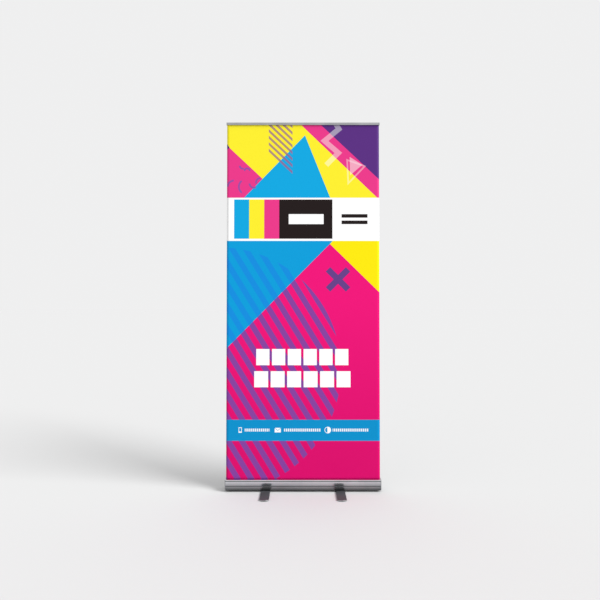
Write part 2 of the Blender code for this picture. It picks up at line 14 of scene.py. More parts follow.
import bmesh
import bpy
import numpy as np
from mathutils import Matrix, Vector


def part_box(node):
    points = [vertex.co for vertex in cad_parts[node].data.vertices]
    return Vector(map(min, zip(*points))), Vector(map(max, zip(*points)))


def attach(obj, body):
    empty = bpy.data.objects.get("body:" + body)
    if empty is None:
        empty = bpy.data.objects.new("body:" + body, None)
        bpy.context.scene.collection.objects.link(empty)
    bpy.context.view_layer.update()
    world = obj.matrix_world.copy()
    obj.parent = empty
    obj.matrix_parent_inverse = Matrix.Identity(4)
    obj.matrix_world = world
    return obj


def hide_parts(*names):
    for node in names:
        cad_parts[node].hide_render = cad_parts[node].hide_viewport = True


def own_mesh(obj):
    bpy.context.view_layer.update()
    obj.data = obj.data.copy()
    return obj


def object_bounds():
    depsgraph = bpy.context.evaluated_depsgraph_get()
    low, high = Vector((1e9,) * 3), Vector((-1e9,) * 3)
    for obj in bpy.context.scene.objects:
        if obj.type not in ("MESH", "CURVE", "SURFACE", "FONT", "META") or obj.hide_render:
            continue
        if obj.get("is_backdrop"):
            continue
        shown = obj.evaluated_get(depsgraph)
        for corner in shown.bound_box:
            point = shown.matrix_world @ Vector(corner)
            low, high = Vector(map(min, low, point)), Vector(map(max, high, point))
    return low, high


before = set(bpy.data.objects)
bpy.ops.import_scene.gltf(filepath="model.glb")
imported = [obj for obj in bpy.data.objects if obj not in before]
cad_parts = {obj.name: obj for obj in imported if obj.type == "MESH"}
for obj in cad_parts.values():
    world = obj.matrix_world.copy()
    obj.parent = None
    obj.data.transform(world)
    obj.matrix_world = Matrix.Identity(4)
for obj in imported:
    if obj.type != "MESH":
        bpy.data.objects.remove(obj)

scene = bpy.context.scene
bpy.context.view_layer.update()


# %% Put an object in the scene
def link(name, data):
    obj = bpy.data.objects.new(name, data)
    scene.collection.objects.link(obj)
    return obj


# %% [markdown]
# ## Camera
#
# A tall flat object is taken square on, from about half its height, so that its sides stay
# parallel. The camera is level but for a quarter of a degree, and a small sideways shift frames
# the stand without turning it.

# %% Place the camera
CAMERA_PLACE = (0.0, -3.050, 1.039)
CAMERA_PITCH = 0.25
camera_data = bpy.data.cameras.new("camera")
camera_data.lens = 32.886
camera_data.shift_x = -0.00507
camera = link("camera", camera_data)
camera.location = CAMERA_PLACE
camera.rotation_euler = (math.radians(90 + CAMERA_PITCH), 0, 0)
scene.camera = camera
print("camera at", CAMERA_PLACE)

# %% [markdown]
# ## Colour and nodes
#
# Colours are written as sRGB hex values, but shaders work in linear light, so one function
# converts them. Other small functions add a node with its settings and links, which keeps each
# material short enough to read as a recipe.


# %% Turn an sRGB colour to linear light
def linear(code):
    """sRGB hex to linear RGBA: v / 12.92 when dark, otherwise ((v + 0.055) / 1.055) ^ 2.4."""
    v = np.array([int(code[i:i + 2], 16) for i in (1, 3, 5)]) / 255
    return (*np.where(v <= 0.04045, v / 12.92, ((v + 0.055) / 1.055) ** 2.4), 1.0)


print("mid grey in linear light", np.round(linear("#808080"), 3))


# %% Add a node
def add(tree, kind, inputs=None, **settings):
    """Adds one node. settings are its own properties. inputs maps a socket to a value or a link."""
    node = tree.nodes.new("ShaderNode" + kind)
    for name, value in settings.items():
        setattr(node, name, value)
    for key, value in (inputs or {}).items():
        if isinstance(value, bpy.types.NodeSocket):
            tree.links.new(value, node.inputs[key])
        else:
            node.inputs[key].default_value = value
    return node


def noise(tree, place, scale, detail=2.0):
    return add(tree, "TexNoise", {"Vector": place, "Scale": scale, "Detail": detail}).outputs[0]


def remap(tree, value, low, high, start=0, end=1):
    """Carries start..end to low..high, and keeps to those limits."""
    return add(tree, "MapRange", {"Value": value, 1: start, 2: end, 3: low, 4: high}).outputs[0]


# %% Start a material
def new_material(name, colour, values):
    """Gives a material, its node tree, its shader and the socket of its Object coordinate."""
    made = bpy.data.materials.new(name)
    made.use_nodes = True
    tree = made.node_tree
    shader = tree.nodes["Principled BSDF"]
    shader.inputs["Base Color"].default_value = linear(colour)
    for socket, value in values.items():
        shader.inputs[socket].default_value = value
    return made, tree, shader, add(tree, "TexCoord").outputs["Object"]


# %% Coat a material
def coat(tree, shader, tone, dark, light, rough, height, depth_mm):
    """Colour goes from dark to light with tone, and height makes bumps depth_mm deep."""
    colour = add(tree, "Mix", {0: tone, 6: linear(dark), 7: linear(light)}, data_type="RGBA")
    bump = add(tree, "Bump", {"Height": height, "Distance": depth_mm / 1000, "Strength": 1.0})
    tree.links.new(colour.outputs[2], shader.inputs["Base Color"])
    tree.links.new(rough, shader.inputs["Roughness"])
    tree.links.new(bump.outputs[0], shader.inputs["Normal"])


# %% [markdown]
# ## Studio
#
# The floor is pale paper, so large that its far edge melts into the background. For that, floor
# and sky must look equally bright: with a sky of brightness L and a key light that adds k, floor
# colour x (L + k) = L. The key is soft and comes from the right front, so the shadow falls softly
# to the left and behind.

# %% Light the studio
SKY = 0.865
FLOOR_COLOUR = 0.58
KEY_FROM = Vector((0.733, -0.342, 0.588)).normalized()
KEY_ANGLE = 30.0
key_on_floor = SKY * (1 - FLOOR_COLOUR) / FLOOR_COLOUR
key_strength = key_on_floor * math.pi / KEY_FROM.z
key_data = bpy.data.lights.new("key_light", "SUN")
key_data.energy = key_strength
key_data.angle = math.radians(KEY_ANGLE)
key = link("key_light", key_data)
key.rotation_mode = "QUATERNION"
key.rotation_quaternion = (-KEY_FROM).to_track_quat("-Z", "Y")
world = bpy.data.worlds.new("studio")
world.use_nodes = True
world.node_tree.nodes["Background"].inputs["Color"].default_value = (SKY, SKY, SKY * 1.003, 1)
scene.world = world
scene.view_settings.view_transform = "Standard"
print("key light strength", round(key_strength, 2))

# %% Lay the floor
paper, tree, shader, place = new_material("matt backdrop paper", "#cfcfcf",
                                          {"Roughness": 0.95, "Specular IOR Level": 0.0})
tone = remap(tree, noise(tree, place, 900.0), FLOOR_COLOUR * 0.992, FLOOR_COLOUR * 1.008)
tree.links.new(tone, shader.inputs["Base Color"])
half = 60.0
floor_mesh = bpy.data.meshes.new("floor")
floor_mesh.from_pydata([(-half, -half, 0), (half, -half, 0), (half, half, 0), (-half, half, 0)],
                       [], [(0, 1, 2, 3)])
floor_mesh.materials.append(paper)
floor = link("floor", floor_mesh)
floor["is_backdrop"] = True
print("floor", 2 * half, "m square")

# %% [markdown]
# ## Surfaces from arrays
#
# Each new piece is a surface that numpy works out as whole arrays: a grid of points, and the
# quads that join them. A direction that goes round a tube is wrapped, so it leaves no seam.


# %% Join a grid of points
def grid(rows, columns, wrap_rows=False, wrap_columns=False):
    """Quads of points numbered row by row: each joins (r, c), (r, c+1), (r+1, c+1), (r+1, c)."""
    r = np.arange(rows if wrap_rows else rows - 1)[:, None]
    c = np.arange(columns if wrap_columns else columns - 1)[None, :]
    r2, c2 = (r + 1) % rows, (c + 1) % columns
    corners = (r * columns + c, r * columns + c2, r2 * columns + c2, r2 * columns + c)
    return np.stack(corners, axis=-1).reshape(-1, 4)


print("a grid of 3 x 4 points has", len(grid(3, 4)), "quads")


# %% Close the ends of a row of rings
def capped(rings, around):
    """The quads between rings of points, and one face at each end."""
    last = (rings - 1) * around
    return [*grid(rings, around, wrap_columns=True), range(around), range(last, last + around)]


# %% Make a piece of a mesh
def piece(name, points, faces, *materials, crease=35):
    """A smooth closed mesh whose edges stay crisp where they turn by over crease degrees."""
    mesh = bpy.data.meshes.new(name)
    mesh.from_pydata(np.reshape(points, (-1, 3)), [], [list(face) for face in faces])
    for material in materials:
        mesh.materials.append(material)
    return clean(link(name, mesh), crease)


def clean(obj, crease=35, merge=0.000002, flatten=False):
    """Merges doubles, joins flat areas if asked, turns faces outwards and marks crisp edges."""
    bm = bmesh.new()
    bm.from_mesh(obj.data)
    bmesh.ops.remove_doubles(bm, verts=bm.verts, dist=merge)
    if flatten:
        bmesh.ops.dissolve_limit(bm, angle_limit=math.radians(0.5), verts=bm.verts,
                                 edges=bm.edges)
    bmesh.ops.recalc_face_normals(bm, faces=bm.faces)
    bm.to_mesh(obj.data)
    bm.free()
    obj.data.shade_smooth()
    obj.data.set_sharp_from_angle(angle=math.radians(crease))
    return obj


# %% Let a piece stand for CAD parts
def stand_for(obj, body, slot, *nodes):
    """obj moves with the body and is shown in place of the CAD nodes. slot is not used."""
    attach(obj, body)
    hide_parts(*nodes)
    print(f"{obj.name}: {len(obj.data.polygons)} faces on {body}")
    return obj


# %% [markdown]
# Most parts are either extruded, as the housing and the rail are, or turned, as the tubes and
# screws are. One function carries an outline along X, and another turns a profile round an axis.
# A third rounds corners, because no real edge is perfectly sharp.


# %% Draw an arc
def arc(centre, radius, start, end, step=6):
    """Points at centre + radius x (cos, sin) of angles from start to end, in degrees."""
    count = max(2, math.ceil(abs(end - start) / step))
    angle = np.radians(np.linspace(start, end, count + 1))
    return np.column_stack([centre[0] + radius * np.cos(angle),
                            centre[1] + radius * np.sin(angle)])


# %% Round an outline's corners
def rounded(outline, radius, least=25, steps=4):
    """Cuts corners that turn by over least degrees at radius x tan(turn / 2) along both sides, at
    most 0.45 of a side, and fills in the curve (1-t)^2 a + 2t(1-t) p + t^2 b between the cuts."""
    p = np.asarray(outline, float)
    back, ahead = np.roll(p, 1, axis=0) - p, np.roll(p, -1, axis=0) - p
    near, far = np.hypot(*back.T), np.hypot(*ahead.T)
    cosine = np.clip(-np.sum(back * ahead, axis=1) / (near * far), -1, 1)
    turn = np.arccos(cosine)
    cut = np.minimum(radius * np.tan(turn / 2), 0.45 * np.minimum(near, far))
    cut = np.where(turn > math.radians(least), cut, 0)[:, None]
    a, b = p + back / near[:, None] * cut, p + ahead / far[:, None] * cut
    t = np.linspace(0, 1, steps + 1)[None, :, None]
    curve = (1 - t) ** 2 * a[:, None] + 2 * t * (1 - t) * p[:, None] + t ** 2 * b[:, None]
    curve = curve.reshape(-1, 2)
    gap = np.hypot(*(curve - np.roll(curve, 1, axis=0)).T)
    return curve[gap > 0.000004]


# %% Carry an outline along X
def along_x(outline, low, high):
    """The outline at x = low and at x = high, joined by quads, with a face at each end."""
    count = len(outline)
    ends = [np.column_stack([np.full(count, x), outline]) for x in (low, high)]
    return np.vstack(ends), capped(2, count)


# %% Turn a profile round an axis
def turned(profile, start, axis, sides=64, closed=False, side=1):
    """start + side x height x axis + radius x (cos a x u + sin a x v), for (radius, height) points.

    axis is 0, 1 or 2, and u and v are the next two axes. A closed profile makes a ring or a tube.
    """
    profile = np.asarray(profile, float)
    angle = np.linspace(0, 2 * math.pi, sides, endpoint=False)
    points = np.zeros((len(profile), sides, 3))
    points[..., axis] = side * profile[:, 1:]
    points[..., (axis + 1) % 3] = profile[:, :1] * np.cos(angle)
    points[..., (axis + 2) % 3] = profile[:, :1] * np.sin(angle)
    return points + np.array(start, float), grid(len(profile), sides, closed, True)


def peg(radius, top, bottom):
    """The profile of a plain round peg, to drill with."""
    return [(0, top), (radius, top), (radius, bottom), (0, bottom)]


# %% Cut or join pieces
def settle(obj):
    """Gives obj the mesh that its modifiers show, and removes them."""
    bpy.context.view_layer.update()
    graph = bpy.context.evaluated_depsgraph_get()
    shown = bpy.data.meshes.new_from_object(obj.evaluated_get(graph))
    obj.modifiers.clear()
    obj.data = shown
    return obj


def cut(obj, tools, operation="DIFFERENCE"):
    """Takes the tools' shapes out of obj, or joins them to it, and removes the tools."""
    for tool in tools:
        step = obj.modifiers.new(tool.name, "BOOLEAN")
        step.operation = operation
        step.solver = "EXACT"
        step.object = tool
    settle(obj)
    for tool in tools:
        bpy.data.objects.remove(tool)
    return clean(obj)


# %% Soften a piece's edges
def soften(obj, width, segments=2):
    """Rounds all edges that turn by over 40 degrees."""
    bevel = obj.modifiers.new("softened edges", "BEVEL")
    bevel.width = width
    bevel.segments = segments
    bevel.limit_method = "ANGLE"
    bevel.angle_limit = math.radians(40)
    return obj


# %% Read and paint faces
def of_faces(obj, kind):
    """The faces' centers or normals, as rows of x, y and z."""
    values = np.zeros(len(obj.data.polygons) * 3)
    obj.data.polygons.foreach_get(kind, values)
    return values.reshape(-1, 3)


def paint(obj, chosen):
    """Gives the chosen faces the object's second material."""
    obj.data.polygons.foreach_set("material_index", chosen.astype(np.int32))
    print(obj.name, "has", int(chosen.sum()), "faces of its second material")


# %% [markdown]
# ## Metals
#
# The die leaves fine lines along an extrusion, which smear its reflections. They are noise
# squeezed across the profile and stretched to 300 mm along it, coarser than real ones, so that
# they show. The feet's dark dye hides the metal, so their finish isn't metallic.
#
# The bright housing mirrors a pale room above and the floor below. A flat plain floor can't give
# all of that, so the housing's colour carries painted light: a painted reflection brightens it
# near the top, and painted shade darkens it towards the bottom.

# %% Anodised aluminium
DIE_LINE_MM = 0.9
DIE_LINE_DEPTH_MM = 0.004
STREAK_MM = 300.0
CLOUD_MM = 90


def anodised(name, dark, light, roughness, axis, metallic=1.0):
    """Colour and roughness follow the die lines; a broad cloud of 90 mm adds handling marks."""
    made, tree, shader, place = new_material(name, light, {"Metallic": metallic,
                                                           "Roughness": roughness})
    scale = [1000 / DIE_LINE_MM] * 3
    scale[axis] = 1000 / STREAK_MM
    squeezed = add(tree, "Mapping", {"Vector": place, "Scale": scale}).outputs[0]
    lines = noise(tree, squeezed, 1.0, 3.0)
    cloud = noise(tree, place, 1000 / CLOUD_MM)
    both = add(tree, "Math", {0: lines, 1: cloud}, operation="ADD").outputs[0]
    tone = remap(tree, both, 0, 1, 0.7, 1.3)
    rough = remap(tree, both, roughness * 0.85, roughness * 1.2, 0.7, 1.3)
    coat(tree, shader, tone, dark, light, rough, lines, DIE_LINE_DEPTH_MM)
    return made


HOUSING_METAL = anodised("bright anodised aluminium extrusion", "#a9abae", "#bfc1c4", 0.13, 0)
RAIL_METAL = anodised("satin anodised aluminium extrusion", "#a3a4a6", "#b8b9bb", 0.28, 0)
TUBE_METAL = anodised("satin anodised aluminium tube", "#adafb2", "#c2c4c6", 0.26, 2)
FOOT_METAL = anodised("dyed dark anodised aluminium bar", "#303133", "#45464a", 0.45, 1, 0.0)
# Painted shade: a darker copy of the extrusion's metal for the faces inside the grooves.
GROOVE_PAINTED_SHADE = anodised("shaded groove of the extrusion", "#55575a", "#6a6c6f", 0.50, 0)
print("metals made:", len(bpy.data.materials) - 1)


# %% Paint light and shade on the housing by height
def fade(made, z_low, z_high, low, high):
    """Painted shade and reflection: multiplies a colour by a factor from low at height z_low to high
    at z_high.
    """
    tree = made.node_tree
    shade = tree.nodes["Principled BSDF"].inputs["Base Color"]
    place = add(tree, "TexCoord").outputs["Object"]
    up = add(tree, "SeparateXYZ", {0: place}).outputs["Z"]
    factor = remap(tree, up, low, high, z_low, z_high)
    scaled = add(tree, "VectorMath", {0: shade.links[0].from_socket, "Scale": factor},
                 operation="SCALE")
    tree.links.new(scaled.outputs[0], shade)


# Painted light on the housing: painted shade towards the bottom, painted reflection near the top.
HOUSING_PAINTED_LIGHT = {"z_low": 0.014, "z_high": 0.056, "low": 0.24, "high": 1.42}
fade(HOUSING_METAL, **HOUSING_PAINTED_LIGHT)
print("housing tone", HOUSING_PAINTED_LIGHT)

# %% [markdown]
# Screws, pins and the bracket are steel with a thin zinc plating, whose crystals change the tone
# a little from grain to grain. The spring and its shaft are bare hardened steel, darker and oily.
# The feet are sawn through their dark skin, so their ends show bright metal.


# %% Plated, bare and cut metal
GRAIN_DEPTH_MM = 0.006


def grained(name, dark, light, roughness, grain_mm, stretch=(1, 1, 1)):
    """Cells of grain_mm, each with its own tone and roughness, over a finer noise."""
    made, tree, shader, place = new_material(name, light, {"Metallic": 1.0,
                                                           "Roughness": roughness})
    place = add(tree, "Mapping", {"Vector": place, "Scale": stretch}).outputs[0]
    cells = add(tree, "TexVoronoi", {"Vector": place, "Scale": 1000 / grain_mm})
    fine = noise(tree, place, 4000 / grain_mm)
    tone = add(tree, "Mix", {0: 0.5, 2: cells.outputs["Color"], 3: fine}).outputs[0]
    rough = remap(tree, tone, roughness * 0.8, roughness * 1.25)
    coat(tree, shader, tone, dark, light, rough, fine, GRAIN_DEPTH_MM)
    return made


ZINC = grained("zinc-plated steel", "#9a9da0", "#c4c6c8", 0.32, 1.5)
SPRING_STEEL = grained("oiled spring steel", "#3c3b3c", "#5f5e60", 0.30, 0.8)
CUT_END = grained("saw-cut aluminium end", "#97989a", "#b4b5b7", 0.36, 1.2, (1, 1, 0.1))
print("zinc grains stand", GRAIN_DEPTH_MM, "mm proud")

# %% [markdown]
# ## Plastics, rubber and brush
#
# The end plates are grey ABS, the locks and the hook black ABS, with a fine spark-eroded grain
# that breaks up the gloss. Plugs, bushes and washers are nylon, which lets a little light in.


# %% Moulded plastics and rubber
def moulded(name, dark, light, roughness, grain_mm, depth_mm, values=None):
    """Rounded grains of grain_mm as bump, with a slow 30 mm change of tone and an IOR of 1.53."""
    made, tree, shader, place = new_material(name, light, {"Roughness": roughness, "IOR": 1.53,
                                                           **(values or {})})
    grain = add(tree, "TexVoronoi", {"Vector": place, "Scale": 1000 / grain_mm,
                                     "Smoothness": 0.6}, feature="SMOOTH_F1").outputs[0]
    tone = remap(tree, noise(tree, place, 1000 / 30, 4.0), 0, 1, 0.3, 0.7)
    rough = remap(tree, grain, roughness * 0.85, roughness * 1.2)
    coat(tree, shader, tone, dark, light, rough, grain, depth_mm)
    return made


GREY_ABS = moulded("grey moulded ABS", "#7d7f82", "#8b8d90", 0.38, 0.4, 0.006)
BLACK_ABS = moulded("black moulded ABS", "#1d1e20", "#28292b", 0.42, 0.4, 0.008)
NYLON = moulded("natural nylon", "#c9c7bd", "#d8d6cc", 0.40, 0.6, 0.004,
                {"Subsurface Weight": 0.3, "Subsurface Scale": 0.001})
RUBBER = moulded("black moulded rubber", "#1a1a1b", "#29292a", 0.80, 0.5, 0.015)
PILE = moulded("polypropylene pile", "#141415", "#262627", 0.85, 0.3, 0.05,
               {"Sheen Weight": 0.4})
print("materials made:", len(bpy.data.materials))

# %% [markdown]
# ## Housing
#
# The housing is one hollow extrusion: a C-shaped wall with a slot on top for the film and two
# grooves along the front. The outline is drawn once and carried along X, as the die does. The
# screw holes and the notch for the pole's bracket are cut after that, as in the workshop.

# %% The housing's sizes
WALL = 0.0022
LEAN = math.radians(1.05)
FILM_START = np.array([-0.0176970, 0.0378244])
housing_low, housing_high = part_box("base_housing")
HALF_DEPTH = housing_high.y
BASE_BOTTOM, BASE_TOP = housing_low.z, housing_high.z
SLOT_HALF, LIP_WIDTH, LIP_BOTTOM = 0.0044, 0.0016, 0.0596
SLOT_Y = FILM_START[0] + (0.0630 - FILM_START[1]) * math.tan(LEAN)
TOP_EDGE_RADIUS = 0.0040
FRONT_FOOT_RADIUS = 0.0025
REAR_FOOT_RADIUS = 0.0120
REAR_TOP_RADIUS = 0.0080
GROOVE_TOPS = (0.0606, 0.0345)
GROOVE_DEPTH, GROOVE_MOUTH, GROOVE_FLOOR = 0.0020, 0.0040, 0.0022
CHAMFER = 0.0905
SIDES = (("left", -1), ("right", 1))
print("housing", round(2 * housing_high.x, 4), "m long, slot at y", round(SLOT_Y, 4))


# %% Draw the housing's outline
def groove(face_y, floor_y, z_top, mouth, bottom):
    """Four points of a groove in a wall, from its upper edge down, with sloping sides."""
    slope = (mouth - bottom) / 2
    z_low = z_top - mouth
    return [(face_y, z_top), (floor_y, z_top - slope), (floor_y, z_low + slope), (face_y, z_low)]


def corner(rear, top, radius, start, end, inset=0):
    """The arc of one outer corner. rear and top are -1 or 1. inset makes it smaller by a wall."""
    y = rear * (HALF_DEPTH - radius)
    z = BASE_TOP - radius if top > 0 else BASE_BOTTOM + radius
    return arc((y, z), radius - inset, start, end)


def outer_side(grooves):
    """The outside from the slot's front lip down the front, under the floor and up the rear."""
    front = [groove(-HALF_DEPTH, -HALF_DEPTH + GROOVE_DEPTH, top, GROOVE_MOUTH, GROOVE_FLOOR)
             for top in grooves]
    return np.vstack([
        corner(-1, 1, TOP_EDGE_RADIUS, 90, 180), *front,
        corner(-1, -1, FRONT_FOOT_RADIUS, 180, 270), corner(1, -1, REAR_FOOT_RADIUS, 270, 360),
        corner(1, 1, REAR_TOP_RADIUS, 0, 90)])


def inner_side():
    """The inside, from the slot's rear lip round to its front lip. The rear's upper corner is cut
    along y + z = CHAMFER."""
    front, rear = -HALF_DEPTH + WALL, HALF_DEPTH - WALL
    bottom, top = BASE_BOTTOM + WALL, BASE_TOP - WALL
    slot_front, slot_rear = SLOT_Y - SLOT_HALF, SLOT_Y + SLOT_HALF
    ribs = [groove(front, front + GROOVE_DEPTH, z + WALL / 2, GROOVE_MOUTH + WALL,
                   GROOVE_FLOOR + WALL)[::-1] for z in GROOVE_TOPS[::-1]]
    return np.vstack([
        [(slot_rear, BASE_TOP), (slot_rear, LIP_BOTTOM), (slot_rear + LIP_WIDTH, LIP_BOTTOM),
         (slot_rear + LIP_WIDTH, top), (CHAMFER - top, top), (rear, CHAMFER - rear)],
        corner(1, -1, REAR_FOOT_RADIUS, 360, 270, WALL),
        [(-0.0245, bottom), (front, 0.0285)], *ribs[:1], ribs[1][:-1],
        [(front + GROOVE_DEPTH, top), (slot_front - LIP_WIDTH, top),
         (slot_front - LIP_WIDTH, LIP_BOTTOM), (slot_front, LIP_BOTTOM), (slot_front, BASE_TOP)]])


housing_outline = rounded(np.vstack([outer_side(GROOVE_TOPS), inner_side()]), 0.00035)
print("housing outline has", len(housing_outline), "points")

# %% Extrude, notch and drill the housing
FOOT_X = 0.2045
BRACKET_X, BRACKET_Z = 0.009, 0.0215
notch_outline = np.array([(0.0225, 0.030), (0.0600, 0.030), (0.0600, 0.080), (0.0225, 0.080)])
housing = piece("housing_profile", *along_x(housing_outline, housing_low.x, housing_high.x),
                HOUSING_METAL)
tools = [piece("notch", *along_x(rounded(notch_outline, 0.002), -0.022, 0.022), HOUSING_METAL)]
for _, side in SIDES:
    for hole, start, axis, sides in (
            (peg(0.0033, 0.004, -0.004), (side * FOOT_X, 0, BASE_BOTTOM), 2, 32),
            (peg(0.0022, 0.005, -0.005), (side * BRACKET_X, HALF_DEPTH, BRACKET_Z), 1, 24)):
        tools.append(piece("drill", *turned(hole, start, axis, sides), HOUSING_METAL))
cut(housing, tools)
# The faces inside the front grooves take the painted shade.
housing.data.materials.append(GROOVE_PAINTED_SHADE)
_, into, up = (of_faces(housing, "center") + (0, HALF_DEPTH, 0)).T
shaded_groove_faces = np.any([(up < top) & (up > top - GROOVE_MOUTH) for top in GROOVE_TOPS], axis=0)
paint(housing, shaded_groove_faces & (into > 0.0003) & (into < GROOVE_DEPTH + 0.0001))
stand_for(housing, "base", "anodised_aluminium", "base_housing")

# %% [markdown]
# ## End plates
#
# A moulded plate closes each end of the housing and carries the roller's bearing hub. Two cross
# head screws hold it, sunk in round seats. It has the housing's outer outline without the grooves.

# %% Mould the end plates
CAP_THICK = 0.0032
ROLLER_Z = 0.0375
CAP_SCREWS = {"front": (-0.0365, 0.0175), "rear": (0.0375, 0.0585)}
cap_outline = np.vstack([[(-0.0300, BASE_TOP)], outer_side(())])
SEAT = [(0, 0.0010), (0.0034, 0.0010), (0.0034, -0.0019), (0.0018, -0.0019), (0.0018, -0.0060),
        (0, -0.0060)]
HUB = [(0, 0.0010), (0.0060, 0.0010), (0.0060, -0.0096), (0.0056, -0.0100), (0, -0.0100)]
end_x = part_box("end_cap_right")[1].x


def end_plate(word, side):
    """A plate of the cap's outline with its hub, two screw seats and, on the left, a socket."""
    low, high = sorted((side * (end_x - CAP_THICK), side * end_x))
    cap = piece(f"end_plate_{word}", *along_x(cap_outline, low, high), GREY_ABS)
    settle(soften(cap, 0.0007, 4))
    hub = piece("hub", *turned(HUB, (side * (end_x - CAP_THICK), 0, ROLLER_Z), 0, 40, side=side),
                GREY_ABS)
    cut(cap, [hub], "UNION")
    seats = [piece("seat", *turned(SEAT, (side * end_x, y, z), 0, 40, side=side), GREY_ABS)
             for y, z in CAP_SCREWS.values()]
    if side < 0:
        shaft_socket = turned(peg(0.0043, -0.0020, -0.0110), (-end_x + CAP_THICK, 0, ROLLER_Z), 0,
                              32, side=side)
        seats.append(piece("socket", *shaft_socket, GREY_ABS))
    cut(cap, seats)
    return stand_for(cap, "base", "grey_plastic", f"end_cap_{word}")


for word, side in SIDES:
    end_plate(word, side)


# %% [markdown]
# A pan head screw is turned in one piece. Its cross recess is stamped, so it is cut out with two
# crossed blades that narrow towards the bottom.


# %% Turn a cross-head screw
BLADE_HALF = 0.00035


def screw(name, head, start, axis, side, arm, depth):
    """The blades reach arm from the middle and depth into the head. They narrow to 0.6 below."""
    body = piece(name, *turned(head, start, axis, 32, side=side), ZINC)
    top = max(height for _, height in head)
    blades = []
    for turn in (0, 1):
        half = (arm, BLADE_HALF) if turn else (BLADE_HALF, arm)
        corners = np.array([(-1, -1), (1, -1), (1, 1), (-1, 1)]) * half
        points = np.zeros((2, 4, 3))
        points[..., axis] = side * np.array([[top - depth], [top + 0.0005]])
        points[..., (axis + 1) % 3] = corners[:, 0] * np.array([[0.6], [1]])
        points[..., (axis + 2) % 3] = corners[:, 1] * np.array([[0.6], [1]])
        blades.append(piece("blade", points + np.array(start), capped(2, 4), ZINC))
    return cut(body, blades)


# %% Fit the end plates' screws
CAP_SCREW = [(0, -0.0001), (0.0012, -0.0002), (0.0022, -0.0005), (0.0029, -0.0010),
             (0.0030, -0.0016), (0.0015, -0.0016), (0.0015, -0.0130), (0.0008, -0.0140),
             (0, -0.0140)]
for word, side in SIDES:
    for where, (y, z) in CAP_SCREWS.items():
        made = screw(f"plate_screw_{word}_{where}", CAP_SCREW, (side * end_x, y, z), 0, side,
                     0.0016, 0.0011)
        stand_for(made, "base", "zinc_steel", f"end_cap_screw_{word}_{where}")

# %% [markdown]
# ## Brush strips
#
# Pile strips on both sides of the slot wipe dust off the film as it winds in. A strip is an
# outline carried along X whose upper half is pushed in and out at random from tuft to tuft.

# %% Make the brush strips
TUFT_SPACING = 0.0015
TUFT_LEAN, TUFT_SHORT = 0.00025, 0.0007
rng = np.random.default_rng(7)


def brush(word, side):
    """Point = (x, slot centre + side x (y + lean), z + height) with a random lean and height."""
    low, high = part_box(f"slot_wiper_{word}")
    xs = np.arange(low.x, high.x, TUFT_SPACING / 2)
    across = np.array([0.0040, 0.0040, 0.0034, 0.0024, 0.0014, 0.0005, 0.0005, 0.0005, 0.0020,
                       0.0034])
    up = np.array([0.0602, 0.0646, 0.0650, 0.0653, 0.0652, 0.0650, 0.0630, 0.0602, 0.0602, 0.0602])
    tips = np.array([0, 0.3, 1, 1, 1, 1, 0, 0, 0, 0])
    points = np.zeros((len(xs), len(across), 3))
    points[..., 0] = xs[:, None]
    points[..., 1] = across + tips * rng.uniform(0, TUFT_LEAN, (len(xs), 1))
    points[..., 1] = SLOT_Y + side * points[..., 1]
    points[..., 2] = up - tips * rng.uniform(0, TUFT_SHORT, (len(xs), len(across)))
    made = piece(f"brush_strip_{word}", points, capped(*points.shape[:2]), PILE, crease=60)
    return stand_for(made, "base", "wiper_felt", f"slot_wiper_{word}")


for word, side in (("front", -1), ("rear", 1)):
    brush(word, side)

# %% [markdown]
# ## Roller and spring
#
# An aluminium tube turns between the end plates with the spare film wound on it, which shows its
# layers at the ends. A coil spring on a fixed shaft winds up as the print is pulled out. It is a
# round wire swept along a helix.

# %% Turn the roller
BLANK_FILM = moulded("wound film edge", "#b9bcc0", "#d4d6d9", 0.35, 1.2, 0.002)
TUBE_RADIUS, TUBE_WALL, ROLL_RADIUS = 0.0160, 0.0012, 0.0172
HALF_FILM = 0.425


def tube_profile(outer, inner, low, high, edge=0.0002):
    """A tube's closed profile: both ends have a small chamfer outside and inside."""
    return [(outer, high - edge), (outer, low + edge), (outer - edge, low), (inner + edge, low),
            (inner, low + edge), (inner, high - edge), (inner + edge, high), (outer - edge, high)]


barrel = piece("roller_barrel", *turned(
    tube_profile(TUBE_RADIUS, TUBE_RADIUS - TUBE_WALL, -HALF_FILM + 0.0005, HALF_FILM - 0.0005),
    (0, 0, ROLLER_Z), 0, 80, True), TUBE_METAL)
stand_for(barrel, "roller", "anodised_aluminium", "roller_tube")
LAYERS, LAYER_STEP = 6, 0.0003
layers = np.linspace(ROLL_RADIUS, TUBE_RADIUS + LAYER_STEP, LAYERS + 1)
steps = np.repeat(layers, 2)[1:-1]
depth = HALF_FILM - np.tile([0, LAYER_STEP], LAYERS)
roll_profile = np.vstack([np.column_stack([steps, depth]), np.column_stack([steps, -depth])[::-1]])
roll = piece("wound_film", *turned(roll_profile, (0, 0, ROLLER_Z), 0, 96, True), BLANK_FILM)
stand_for(roll, "roller", "printed_film", "film_roll")

# %% Sweep the spring along its helix
WIRE = 0.0009
COIL_RADIUS, COIL_START, COIL_TURNS, COIL_PITCH = 0.0085, -0.398, 13, 0.0175


